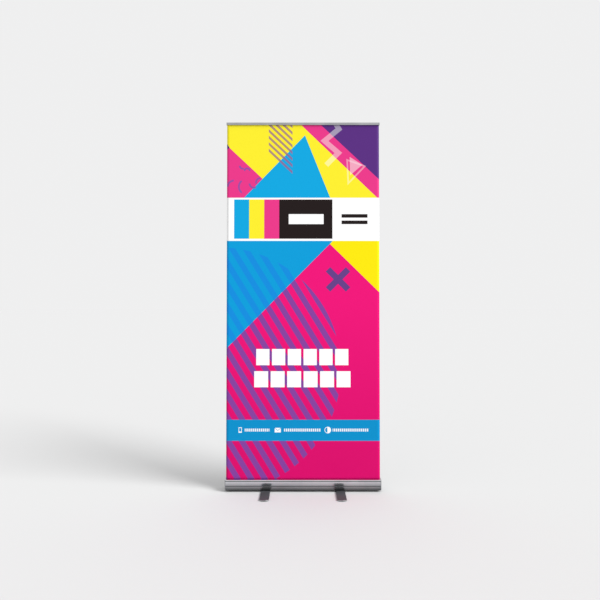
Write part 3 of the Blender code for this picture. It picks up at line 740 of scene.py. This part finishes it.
def helix_wire(sides=12, per_turn=40):
    """Centre (start + pitch t, R cos a, R sin a), with a circle of the wire's radius round it."""
    t = np.linspace(0, COIL_TURNS, COIL_TURNS * per_turn + 1)
    a = 2 * math.pi * t
    out = np.stack([0 * a, np.cos(a), np.sin(a)], axis=1)
    ahead = np.stack([0 * a + COIL_PITCH / (2 * math.pi), -COIL_RADIUS * np.sin(a),
                      COIL_RADIUS * np.cos(a)], axis=1)
    ahead /= np.linalg.norm(ahead, axis=1)[:, None]
    over = np.cross(ahead, out)
    centre = out * COIL_RADIUS + np.array([0, 0, ROLLER_Z])
    centre[:, 0] = COIL_START + COIL_PITCH * t
    b = np.linspace(0, 2 * math.pi, sides, endpoint=False)[None, :, None]
    points = centre[:, None] + WIRE * (np.cos(b) * out[:, None] + np.sin(b) * over[:, None])
    return points, capped(len(t), sides)


stand_for(piece("winding_spring", *helix_wire(), SPRING_STEEL, crease=50), "base",
          "spring_steel", "torsion_spring")


# %% [markdown]
# ## Parts that are already right
#
# Some CAD parts have the right shape, but perfectly sharp edges. A copy of such a part is merged
# into one closed skin and its edges are rounded. The CAD part itself is never touched.


# %% Refine a CAD part
def refine(name, node, body, slot, material, round_mm):
    """A merged copy of the CAD mesh, flat areas joined, with edges rounded by round_mm."""
    obj = link(name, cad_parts[node].data.copy())
    obj.data.materials.clear()
    obj.data.materials.append(material)
    clean(obj, merge=0.000005, flatten=True)
    if round_mm:
        settle(soften(obj, round_mm / 1000))
    return stand_for(clean(obj), body, slot, node)


for word in ("left", "right"):
    refine(f"roller_end_plug_{word}", f"roller_plug_{word}", "roller", "nylon", NYLON, 0.3)
    refine(f"foot_nut_{word}", f"foot_pivot_nut_{word}", "base", "zinc_steel", ZINC, 0.3)
    refine(f"foot_bolt_{word}", f"foot_pivot_bolt_{word}", "base", "zinc_steel", ZINC, 0.3)
    refine(f"foot_spacer_{word}", f"foot_washer_{word}", "base", "nylon", NYLON, 0.15)
refine("spring_end_anchor", "spring_anchor", "roller", "nylon", NYLON, 0.3)
refine("fixed_shaft", "spring_shaft", "base", "zinc_steel", SPRING_STEEL, 0)

# %% [markdown]
# ## Feet
#
# Each foot is a flat bar across the base that swivels on one bolt. Its ends are cut to a shallow
# arc. Its top is a function of the place across the bar: rounded near the sides, with a shallow
# wave of ribs for grip between them.

# %% The bar's surface
FOOT_LENGTH, FOOT_WIDTH, FOOT_THICK, FOOT_BOTTOM = 0.383, 0.050, 0.005, 0.0020
END_SAG, EDGE_RADIUS = 0.0120, 0.0012
RIB_PITCH, RIB_DEPTH = 0.0026, 0.00030


def foot_bar(side):
    """Rings round the bar at growing distances from its curved ends, joined along Y.

    Half thickness = h - r + sqrt(r^2 - (|x| - w + r)^2) near the sides. The top is lowered by
    RIB_DEPTH x (1 - |cos(pi x / pitch)|). The end line is y = centre + sqrt(R^2 - x^2).
    """
    w, h, r = FOOT_WIDTH / 2, FOOT_THICK / 2, EDGE_RADIUS
    sides = w - r + r * np.sin(np.linspace(0, math.pi / 2, 6))
    middle = np.linspace(-w + r, w - r, 8 * int((FOOT_WIDTH - 2 * r) / RIB_PITCH) + 1)
    x = np.concatenate([-sides[:0:-1], middle, sides[1:]])
    beyond = np.clip(np.abs(x) - (w - r), 0, r)
    thick = h - r + np.sqrt(r * r - beyond ** 2)
    ribs = RIB_DEPTH * (1 - np.abs(np.cos(math.pi * x / RIB_PITCH))) * (np.abs(x) < w - 2 * r)
    big = (w * w + END_SAG ** 2) / (2 * END_SAG)
    end = FOOT_LENGTH / 2 - big + np.sqrt(big * big - x * x)
    a = np.linspace(0, math.pi / 2, 5)
    inset = np.r_[r * (1 - np.cos(a)), 0.010, 0.060, 0.140][:, None]
    drop = np.r_[r * (1 - np.sin(a)), 0, 0, 0]
    y = np.concatenate([-(end - inset), end - inset[::-1]])
    less = np.r_[drop, drop[::-1]][:, None]
    x_all = np.broadcast_to(x, y.shape)
    top = np.stack([x_all, y, thick - ribs - less], axis=-1)
    low = np.stack([x_all, y, -(thick - less)], axis=-1)[:, ::-1]
    points = np.concatenate([top, low], axis=1) + np.array([side * FOOT_X, 0, FOOT_BOTTOM + h])
    return points, len(x)


# %% Make the feet
BOLT_HOLE = [(0, FOOT_THICK + 0.001), (0.0033, FOOT_THICK + 0.001), (0.0033, 0.0026),
             (0.0073, 0.0026), (0.0073, -0.001), (0, -0.001)]


def swivel_foot(word, side):
    """The bar with walls across its two end rings, its bolt hole drilled and its ends bright."""
    points, columns = foot_bar(side)
    rows, around = points.shape[:2]
    c = np.arange(columns - 1)
    wall = np.stack([c, c + 1, around - 2 - c, around - 1 - c], axis=1)
    faces = np.vstack([grid(rows, around, wrap_columns=True), wall, wall + (rows - 1) * around])
    bar = piece(f"foot_bar_{word}", points, faces, FOOT_METAL, CUT_END, crease=30)
    cut(bar, [piece("seat", *turned(BOLT_HOLE, (side * FOOT_X, 0, FOOT_BOTTOM), 2, 40),
                    FOOT_METAL)])
    facing, away = np.abs(of_faces(bar, "normal")[:, 1]), np.abs(of_faces(bar, "center")[:, 1])
    paint(bar, (facing > 0.35) & (away > 0.15))
    return stand_for(bar, f"{word}_foot", "anodised_aluminium", f"foot_{word}")


for word, side in SIDES:
    swivel_foot(word, side)

# %% [markdown]
# Under each end of a foot sits a round rubber pad, turned from one profile. Two rings of tread
# grip a smooth floor.

# %% Turn the rubber pads
PAD_INSET = 0.024
PAD = [(0, 0.0017), (0.0124, 0.0017), (0.0129, 0.0014), (0.0130, 0.0010), (0.0130, 0.0003),
       (0.0127, 0), (0.0108, 0), (0.0105, 0.0004), (0.0092, 0.0004), (0.0089, 0),
       (0.0064, 0), (0.0061, 0.0004), (0.0048, 0.0004), (0.0045, 0), (0, 0)]
for word, side in SIDES:
    for end_word, end in (("front", -1), ("rear", 1)):
        start = (side * FOOT_X, end * (FOOT_LENGTH / 2 - PAD_INSET), 0)
        pad = piece(f"rubber_pad_{word}_{end_word}", *turned(PAD, start, 2, 64), RUBBER)
        stand_for(pad, f"{word}_foot", "rubber", f"foot_pad_{word}_{end_word}")

# %% [markdown]
# ## Top rail
#
# The rail is two thin extrusions that hinge on each other and clamp the film between them. The
# rear one has a channel for the pole's hook. Both outlines are drawn in the film's own plane,
# which leans back by about one degree.

# %% The leaning plane
RAIL_BOTTOM_Z = 2.032
RAIL_STATION = (RAIL_BOTTOM_Z - FILM_START[1]) / math.cos(LEAN)
RAIL_HEIGHT, RAIL_FRONT, RAIL_REAR = 0.014, 0.0065, 0.0085
UP_FILM = np.array([0, math.sin(LEAN), math.cos(LEAN)])
BEHIND_FILM = np.array([0, math.cos(LEAN), -math.sin(LEAN)])


def leaned(points, station=0.0):
    """(x, across, up) in the film's plane: start + across x behind + (station + up) x up."""
    p = np.asarray(points, float)
    start = np.array([0, *FILM_START])
    return (start + p[..., :1] * np.array([1, 0, 0]) + p[..., 1:2] * BEHIND_FILM
            + (station + p[..., 2:]) * UP_FILM)


print("rail starts", round(RAIL_STATION, 4), "m up the film")

# %% Draw the rail's two halves
BARREL_RADIUS = 0.0022
BARREL = np.array((-0.0043, RAIL_HEIGHT - BARREL_RADIUS))
NEAR, FLANGE_LOW = 0.0005, 0.0122
CHANNEL_FLOOR, CHANNEL_LOW, CHANNEL_HIGH = 0.0035, 0.0025, 0.0105
GRIP_FLOOR, GRIP_LOW, GRIP_HIGH = NEAR + 0.0012, 0.0024, 0.0074
flange = BARREL[0] + BARREL_RADIUS + 0.0003
rail_back = np.array([
    (NEAR, 0), (RAIL_REAR, 0), (RAIL_REAR, CHANNEL_LOW), (CHANNEL_FLOOR, CHANNEL_LOW),
    (CHANNEL_FLOOR, CHANNEL_HIGH), (RAIL_REAR, CHANNEL_HIGH), (RAIL_REAR, RAIL_HEIGHT),
    (flange, RAIL_HEIGHT), (flange, FLANGE_LOW), (NEAR, FLANGE_LOW), (NEAR, GRIP_HIGH),
    (GRIP_FLOOR, GRIP_HIGH), (GRIP_FLOOR, GRIP_LOW), (NEAR, GRIP_LOW)])
rail_front = np.vstack([
    [(-NEAR, 0), (-NEAR, BARREL[1] - 0.0004)],
    arc(BARREL, BARREL_RADIUS, 0, 180, 12),
    [(-RAIL_FRONT, 0.0012), (-RAIL_FRONT + 0.0010, 0)]])


def rail_part(name, outline, low, high, material, crease=35):
    """An outline of the rail carried from low to high along X, in the leaning plane."""
    points, faces = along_x(outline, low, high)
    return piece(name, leaned(points, RAIL_STATION), faces, material, crease=crease)


rail_low, rail_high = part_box("top_rail_back")
for name, node, outline, body, radius in (
        ("rail_back_profile", "top_rail_back", rail_back, "rail", 0.0005),
        ("rail_front_profile", "top_rail_front", rail_front, "jaw", 0.0004)):
    made = rail_part(name, rounded(outline, radius), rail_low.x, rail_high.x, RAIL_METAL)
    stand_for(made, body, "anodised_aluminium", node)

# %% Grip strip and rail ends
grip_low, grip_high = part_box("rail_grip_strip")
teeth = np.column_stack([np.tile([0.0005, 0.0008], 9), 0.0027 + 0.00025 * np.arange(18)])
grip = np.vstack([teeth, [(0.0014, 0.0071), (0.0014, 0.0027)]])
made = rail_part("rail_grip", grip, grip_low.x, grip_high.x, RUBBER, crease=80)
stand_for(made, "rail", "rubber", "rail_grip_strip")
rail_cap = np.vstack([
    [(-RAIL_FRONT + 0.001, 0), (RAIL_REAR - 0.001, 0), (RAIL_REAR, 0.001),
     (RAIL_REAR, RAIL_HEIGHT - 0.001), (RAIL_REAR - 0.001, RAIL_HEIGHT)],
    arc(BARREL, BARREL_RADIUS, 90, 180, 12), [(-RAIL_FRONT, 0.001)]])
for word, side in SIDES:
    near, far = sorted((side * (rail_high.x + 0.0003), side * (rail_high.x + 0.0028)))
    made = rail_part(f"rail_end_{word}", rounded(rail_cap, 0.0006), near, far, GREY_ABS)
    settle(soften(made, 0.0004, 3))
    stand_for(clean(made), "rail", "grey_plastic", f"rail_cap_{word}")

# %% [markdown]
# ## Print
#
# The print is ink on a polyester film with a grey light-stopping back. The shader draws it. Each
# point of the film carries its place on the print, (u, v, 1), in metres from the upper left
# corner. The distance from a straight line is then one dot product with (a, b, c), and a convex
# patch is where the least of its edges' distances is above zero. So the edges stay crisp on any
# mesh. All words and marks are plain bars, discs and blocks.

# %% Start the print's material
print_film, ink, ink_shader, film_place = new_material(
    "inkjet-printed polyester film", "#f5e300",
    {"Roughness": 0.45, "IOR": 1.50, "Specular IOR Level": 0.10})
print_place = add(ink, "Attribute", attribute_name="print_place").outputs["Vector"]


# %% Distances on the print
def on_print(vector, operation="DOT_PRODUCT"):
    """Of (a, b, c): a u + b v + c, the distance in metres from a straight line."""
    return add(ink, "VectorMath", {0: print_place, 1: vector}, operation=operation).outputs["Value"]


def join(a, b, operation="MINIMUM"):
    return add(ink, "Math", {0: a, 1: b}, operation=operation).outputs[0]


def patch(*corners):
    """How far inside a convex patch a point lies: the least distance to its edges. Uses mm."""
    p = np.array(corners, float) / 1000
    q = np.roll(p, -1, axis=0)
    turn = np.sign(np.sum(p[:, 0] * q[:, 1] - q[:, 0] * p[:, 1]))
    across = turn * np.column_stack([p[:, 1] - q[:, 1], q[:, 0] - p[:, 0]])
    across /= np.hypot(*across.T)[:, None]
    lines = np.column_stack([across, -np.sum(across * p, axis=1)])
    return functools.reduce(join, [on_print(line) for line in lines])


def bar(u0, u1, v0, v1):
    return patch((u0, v0), (u1, v0), (u1, v1), (u0, v1))


def stroke(points, thick, closed=False):
    """A line through points, thick mm wide, whose legs meet on the bisectors of its corners."""
    p = np.array(points, float)
    ahead = np.roll(p, -1, axis=0) - p
    after = np.column_stack([-ahead[:, 1], ahead[:, 0]]) / np.hypot(*ahead.T)[:, None]
    before = np.roll(after, 1, axis=0)
    if not closed:
        after[-1], before[0] = after[-2], after[0]
    mitre = (after + before) * thick / 2 / (1 + np.sum(after * before, axis=1))[:, None]
    shape = -1.0
    for i in range(len(p) if closed else len(p) - 1):
        j = (i + 1) % len(p)
        leg = patch(p[i] + mitre[i], p[j] + mitre[j], p[j] - mitre[j], p[i] - mitre[i])
        shape = join(leg, shape, "MAXIMUM")
    return shape


def disc(u, v, radius):
    """radius - distance from (u, v), in mm."""
    far = on_print((u / 1000, v / 1000, 1), "DISTANCE")
    return join(radius / 1000, far, "SUBTRACT")


def stripes(direction, spacing, width, offset=0):
    """Parallel stripes: width / 2 - the distance to the nearest of lines spacing mm apart."""
    a = math.radians(direction)
    across = on_print((-math.sin(a), math.cos(a), -offset / 1000))
    nearest = join(across, spacing / 2000, "PINGPONG")
    return join(width / 2000, nearest, "SUBTRACT")


# %% Lay ink on the print
ink_colour = [ink_shader.inputs["Base Color"].default_value[:]]


def lay(inside, colour, cover=1.0):
    """Mixes a share, cover, of a colour over what is there, where inside is above zero."""
    mask = join(join(inside, 0.0, "GREATER_THAN"), cover, "MULTIPLY")
    mixed = add(ink, "Mix", {0: mask, 6: ink_colour[0], 7: linear(colour)}, data_type="RGBA")
    ink_colour[0] = mixed.outputs[2]


WHITE, BLACK, PURPLE = "#ececec", "#1c1313", "#522976"
YELLOW, DEEP_YELLOW = "#e8db28", "#e8d700"
CYAN, DEEP_CYAN, BAND_CYAN = "#049acf", "#0091c9", "#0085bc"
MAGENTA, DEEP_MAGENTA, LOW_MAGENTA = "#d8327e", "#dd0a6f", "#cb0263"
lay(bar(0, 850, -40, 408), YELLOW)
lay(patch((385, -30), (495, -30), (850, 305), (850, 418)), MAGENTA)
lay(patch((495, -30), (850, -30), (850, 305)), PURPLE)
print("ground inks laid")

# %% Upper field
lay(patch((0, 115), (199, 302), (94, 409), (0, 409)), MAGENTA)
lay(patch((0, 106), (14, 127), (0, 138)), PURPLE)
lay(patch((436, 57), (94, 409), (577, 409)), CYAN)
hatch = patch((233, -40), (366, -40), (366, 275), (233, 150))
lay(join(hatch, stripes(43.4, 26.7, 12.6, -58.2)), "#85587f", 0.80)
zigzag = stroke(((601, -20), (626, 21), (545, 88), (623, 156), (555, 224)), 29)
lay(zigzag, WHITE, 0.30)
lay(patch((686, 178), (757, 223), (688, 282)), WHITE, 0.36)
lay(stroke(((672, 196), (770, 231), (678, 327)), 9, closed=True), WHITE, 0.26)


def curl(u, v, radius, *half):
    """Part of a ring: 5.2 mm less the distance to its circle, kept inside a patch."""
    off = join(disc(u, v, radius), 0.0, "ABSOLUTE")
    return join(join(0.0052, off, "SUBTRACT"), bar(*half))


for curled in ((88, 228, 17, 60, 94, 228, 260), (112, 258, 15, 94, 130, 236, 258),
               (38, 346, 34, 0, 38, 306, 346), (108, 346, 42, 60, 84, 312, 382),
               (150, 328, 24, 120, 162, 328, 362), (186, 322, 24, 158, 186, 292, 330)):
    lay(curl(*curled), "#7a4a9a", 0.85)
print("upper field has", len(ink.nodes), "nodes")

# %% White band with plain colour bars
BAR_WIDTH = 84
lay(bar(0, 850, 408, 650), WHITE)
lay(bar(40, 589, 418, 638), BLACK)
for count, colour in enumerate((CYAN, YELLOW, MAGENTA)):
    lay(bar(40 + count * BAR_WIDTH, 40 + (count + 1) * BAR_WIDTH, 418, 638), colour)
lay(bar(345, 540, 500, 556), WHITE)
for v0, v1 in ((500, 520), (536, 556)):
    lay(bar(640, 785, v0, v1), BLACK)
print("band laid, nodes", len(ink.nodes))

# %% Lower field
lay(bar(0, 850, 650, 2010), DEEP_CYAN)
lay(patch((590, 650), (850, 650), (850, 937), (575, 667)), DEEP_YELLOW)
magenta_field = patch((575, 667), (850, 937), (850, 2010), (0, 2010), (0, 1249))
lay(magenta_field, DEEP_MAGENTA)
deeper = remap(ink, on_print((0, 1, 0)), 0, 1, 1.0, 1.8)
lay(magenta_field, LOW_MAGENTA, deeper)
sun_disc = join(disc(-44, 1366, 680), stripes(58.4, 63.8, 31.5, -44.2))
lay(join(sun_disc, bar(0, 850, 650, 2010)), "#0a82cd")
lay(join(sun_disc, magenta_field), "#7b3c92")
cross = [stroke(ends, 35) for ends in (((564, 809), (676, 921)), ((676, 809), (564, 921)))]
lay(join(*cross, "MAXIMUM"), "#5e3a7d")
for v0, v1, u0, pitch in ((1252, 1342, 165, 87.6), (1375, 1464, 154, 91.4)):
    row = bar(u0, u0 + 6 * pitch - 14, v0, v1)
    lay(join(row, stripes(90, pitch, pitch - 14, -(u0 + (pitch - 14) / 2))), WHITE)
print("lower field laid, nodes", len(ink.nodes))

# %% Contact band
lay(bar(0, 850, 1643, 1760), BAND_CYAN)
lay(bar(68, 86, 1685, 1715), WHITE)
lay(bar(71, 83, 1689, 1708), BAND_CYAN)
lay(bar(268, 302, 1688, 1713), WHITE)
flap = [stroke(((u, 1687), (285, 1703)), 2.4) for u in (266, 304)]
lay(join(*flap, "MAXIMUM"), BAND_CYAN)
lay(disc(562, 1700, 18), WHITE)
lay(join(disc(562, 1700, 15), bar(540, 560, 1680, 1720)), BAND_CYAN)
for u0, u1 in ((102, 240), (320, 524), (588, 788)):
    lay(join(bar(u0, u1, 1692, 1708), stripes(90, 11.5, 8.0)), WHITE, 0.85)
print("contact band laid, nodes", len(ink.nodes))

# %% Finish the print's material
ink.links.new(ink_colour[0], ink_shader.inputs["Base Color"])
weave = noise(ink, film_place, 1200.0)
weave_bump = add(ink, "Bump", {"Height": weave, "Distance": 0.00001, "Strength": 1.0})
ink.links.new(weave_bump.outputs[0], ink_shader.inputs["Normal"])
film_back = moulded("grey block-out film back", "#bcbec1", "#c2c4c6", 0.50, 0.8, 0.003)

# %% [markdown]
# The film is a sheet 0.4 mm thick. It hangs almost flat, with waves below 0.25 mm. One piece
# reaches from the slot to the rail. A short strip below the slot stays still.

# %% Make the film
FILM_THICK = 0.0004
SLOT_STATION = (0.0605 - FILM_START[1]) / math.cos(LEAN)
FILM_TOP = RAIL_STATION + RAIL_HEIGHT - 0.0040


def film(name, low, high, columns, rows):
    """(x, wave, s): wave = 0.14 mm sin(9.3 s + 1.1 x) + 0.08 mm sin(23 s - 4 x), eased at the ends."""
    x, s = np.meshgrid(np.linspace(-HALF_FILM, HALF_FILM, columns), np.linspace(low, high, rows))
    ease = np.sin(math.pi * np.clip((s - SLOT_STATION) / (FILM_TOP - SLOT_STATION), 0, 1)) ** 0.5
    ease = ease * np.clip((RAIL_STATION - s) / 0.15, 0, 1)
    wave = 0.00014 * np.sin(9.3 * s + 1.1 * x) + 0.00008 * np.sin(23 * s - 4 * x)
    points = leaned(np.stack([x, wave * ease - FILM_THICK / 2, s], axis=-1))
    mesh = bpy.data.meshes.new(name)
    mesh.from_pydata(points.reshape(-1, 3), [], grid(rows, columns))
    mesh.shade_smooth()
    spot = mesh.attributes.new("print_place", "FLOAT_VECTOR", "POINT")
    values = np.stack([x + HALF_FILM, RAIL_STATION - s, np.ones_like(s)], axis=-1)
    spot.data.foreach_set("vector", values.astype(np.float32).ravel())
    mesh.materials.append(print_film)
    mesh.materials.append(film_back)
    obj = link(name, mesh)
    wall = obj.modifiers.new("film thickness", "SOLIDIFY")
    wall.thickness = FILM_THICK
    wall.offset = -1
    wall.material_offset = wall.material_offset_rim = 1
    return obj


sheet = film("print_sheet", SLOT_STATION, FILM_TOP, 61, 241)
strip = film("print_sheet_below_slot", 0.0, SLOT_STATION - 0.0001, 61, 7)
stand_for(sheet, "base", "printed_film", "banner_film")
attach(strip, "base")
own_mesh(sheet)
print("film above the slot", round(FILM_TOP - SLOT_STATION, 4), "m")

# %% [markdown]
# ## Pole
#
# The pole is three tubes that slide into each other, with a twist lock at each joint. Its foot
# turns on a pin in a folded steel bracket, and a moulded hook on top holds the rail.

# %% Turn the tubes
POLE_Y = 0.0360
TUBES = {"lower": ("lower_pole", 0.0125, 0.0113), "middle": ("middle_pole", 0.0105, 0.0093),
         "top": ("top_pole", 0.0085, 0.0073)}
for word, (body, outer, inner) in TUBES.items():
    low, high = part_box(f"pole_{word}_tube")
    profile = tube_profile(outer, inner, low.z, high.z, 0.0003)
    made = piece(f"pole_tube_{word}", *turned(profile, (0, POLE_Y, 0), 2, 64, True), TUBE_METAL)
    stand_for(made, body, "anodised_aluminium", f"pole_{word}_tube")

# %% [markdown]
# A twist lock is a moulded sleeve with flutes for the fingers. Its radius is a function of the
# angle and of the height: the flutes fade out towards both ends.

# %% Turn the twist locks
FLUTES = 16
FLUTE_DEPTH = 0.0007


def twist_lock(name, node, body, tube_radius, inner_radius):
    """Outer radius = R - depth x window(height) x (0.5 - 0.5 cos(flutes x angle))^0.7."""
    low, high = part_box(node)
    radius, gap = (high.x - low.x) / 2, 0.0003
    shoulder = low.z + 0.030 + gap
    outer_z = np.r_[high.z - 0.0003, high.z - 0.0012,
                    np.linspace(high.z - 0.004, low.z + 0.004, 15), low.z + 0.0012, low.z + 0.0003]
    outer_r = radius - np.r_[0.0011, 0.0003, np.zeros(15), 0.0003, 0.0011]
    window = np.r_[0, 0, np.sin(np.linspace(0, math.pi, 15)) ** 0.5, 0, 0]
    inner = np.array([(radius - 0.0020, low.z), (tube_radius + gap, low.z),
                      (tube_radius + gap, shoulder), (inner_radius + gap, shoulder),
                      (inner_radius + gap, high.z), (radius - 0.0020, high.z)])
    angle = np.linspace(0, 2 * math.pi, FLUTES * 10, endpoint=False)
    flute = (0.5 - 0.5 * np.cos(FLUTES * angle)) ** 0.7
    r = outer_r[:, None] - FLUTE_DEPTH * window[:, None] * flute
    r = np.vstack([r, np.repeat(inner[:, :1], len(angle), axis=1)])
    z = np.concatenate([outer_z, inner[:, 1]])[:, None] + np.zeros_like(r)
    points = np.stack([r * np.cos(angle), POLE_Y + r * np.sin(angle), z], axis=-1)
    made = piece(name, points, grid(*r.shape, True, True), BLACK_ABS, crease=50)
    return stand_for(made, body, "black_plastic", node)


twist_lock("twist_lock_lower", "lower_lock_collar", "lower_collar", 0.0125, 0.0105)
twist_lock("twist_lock_upper", "upper_lock_collar", "upper_collar", 0.0105, 0.0085)

# %% Bracket, pin, foot, bushes and hook
refine("pole_bracket_folded", "pole_bracket", "base", "zinc_steel", ZINC, 0.4)
refine("hinge_pin", "pole_hinge_pin", "base", "zinc_steel", ZINC, 0.2)
refine("pole_knuckle", "pole_foot", "lower_pole", "black_plastic", BLACK_ABS, 0.4)
for word in ("middle", "top"):
    refine(f"guide_bush_{word}", f"{word}_guide_bush", f"{word}_pole", "nylon", NYLON, 0.15)
refine("hook_head", "pole_hook", "top_pole", "black_plastic", BLACK_ABS, 0.4)
BRACKET_SCREW = [(0, 0.0022), (0.0012, 0.0021), (0.0024, 0.0017), (0.0033, 0.0010),
                 (0.0036, 0.0003), (0.0018, 0.0003), (0.0018, -0.0080), (0, -0.0080)]
for word, side in SIDES:
    start = (side * BRACKET_X, HALF_DEPTH, BRACKET_Z)
    made = screw(f"bracket_pan_screw_{word}", BRACKET_SCREW, start, 1, 1, 0.0019, 0.0014)
    stand_for(made, "base", "zinc_steel", f"bracket_screw_{word}")

# %% [markdown]
# ## Finish
#
# The last cell works out the box round all that is shown.

# %% Work out the visible box
low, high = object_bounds()
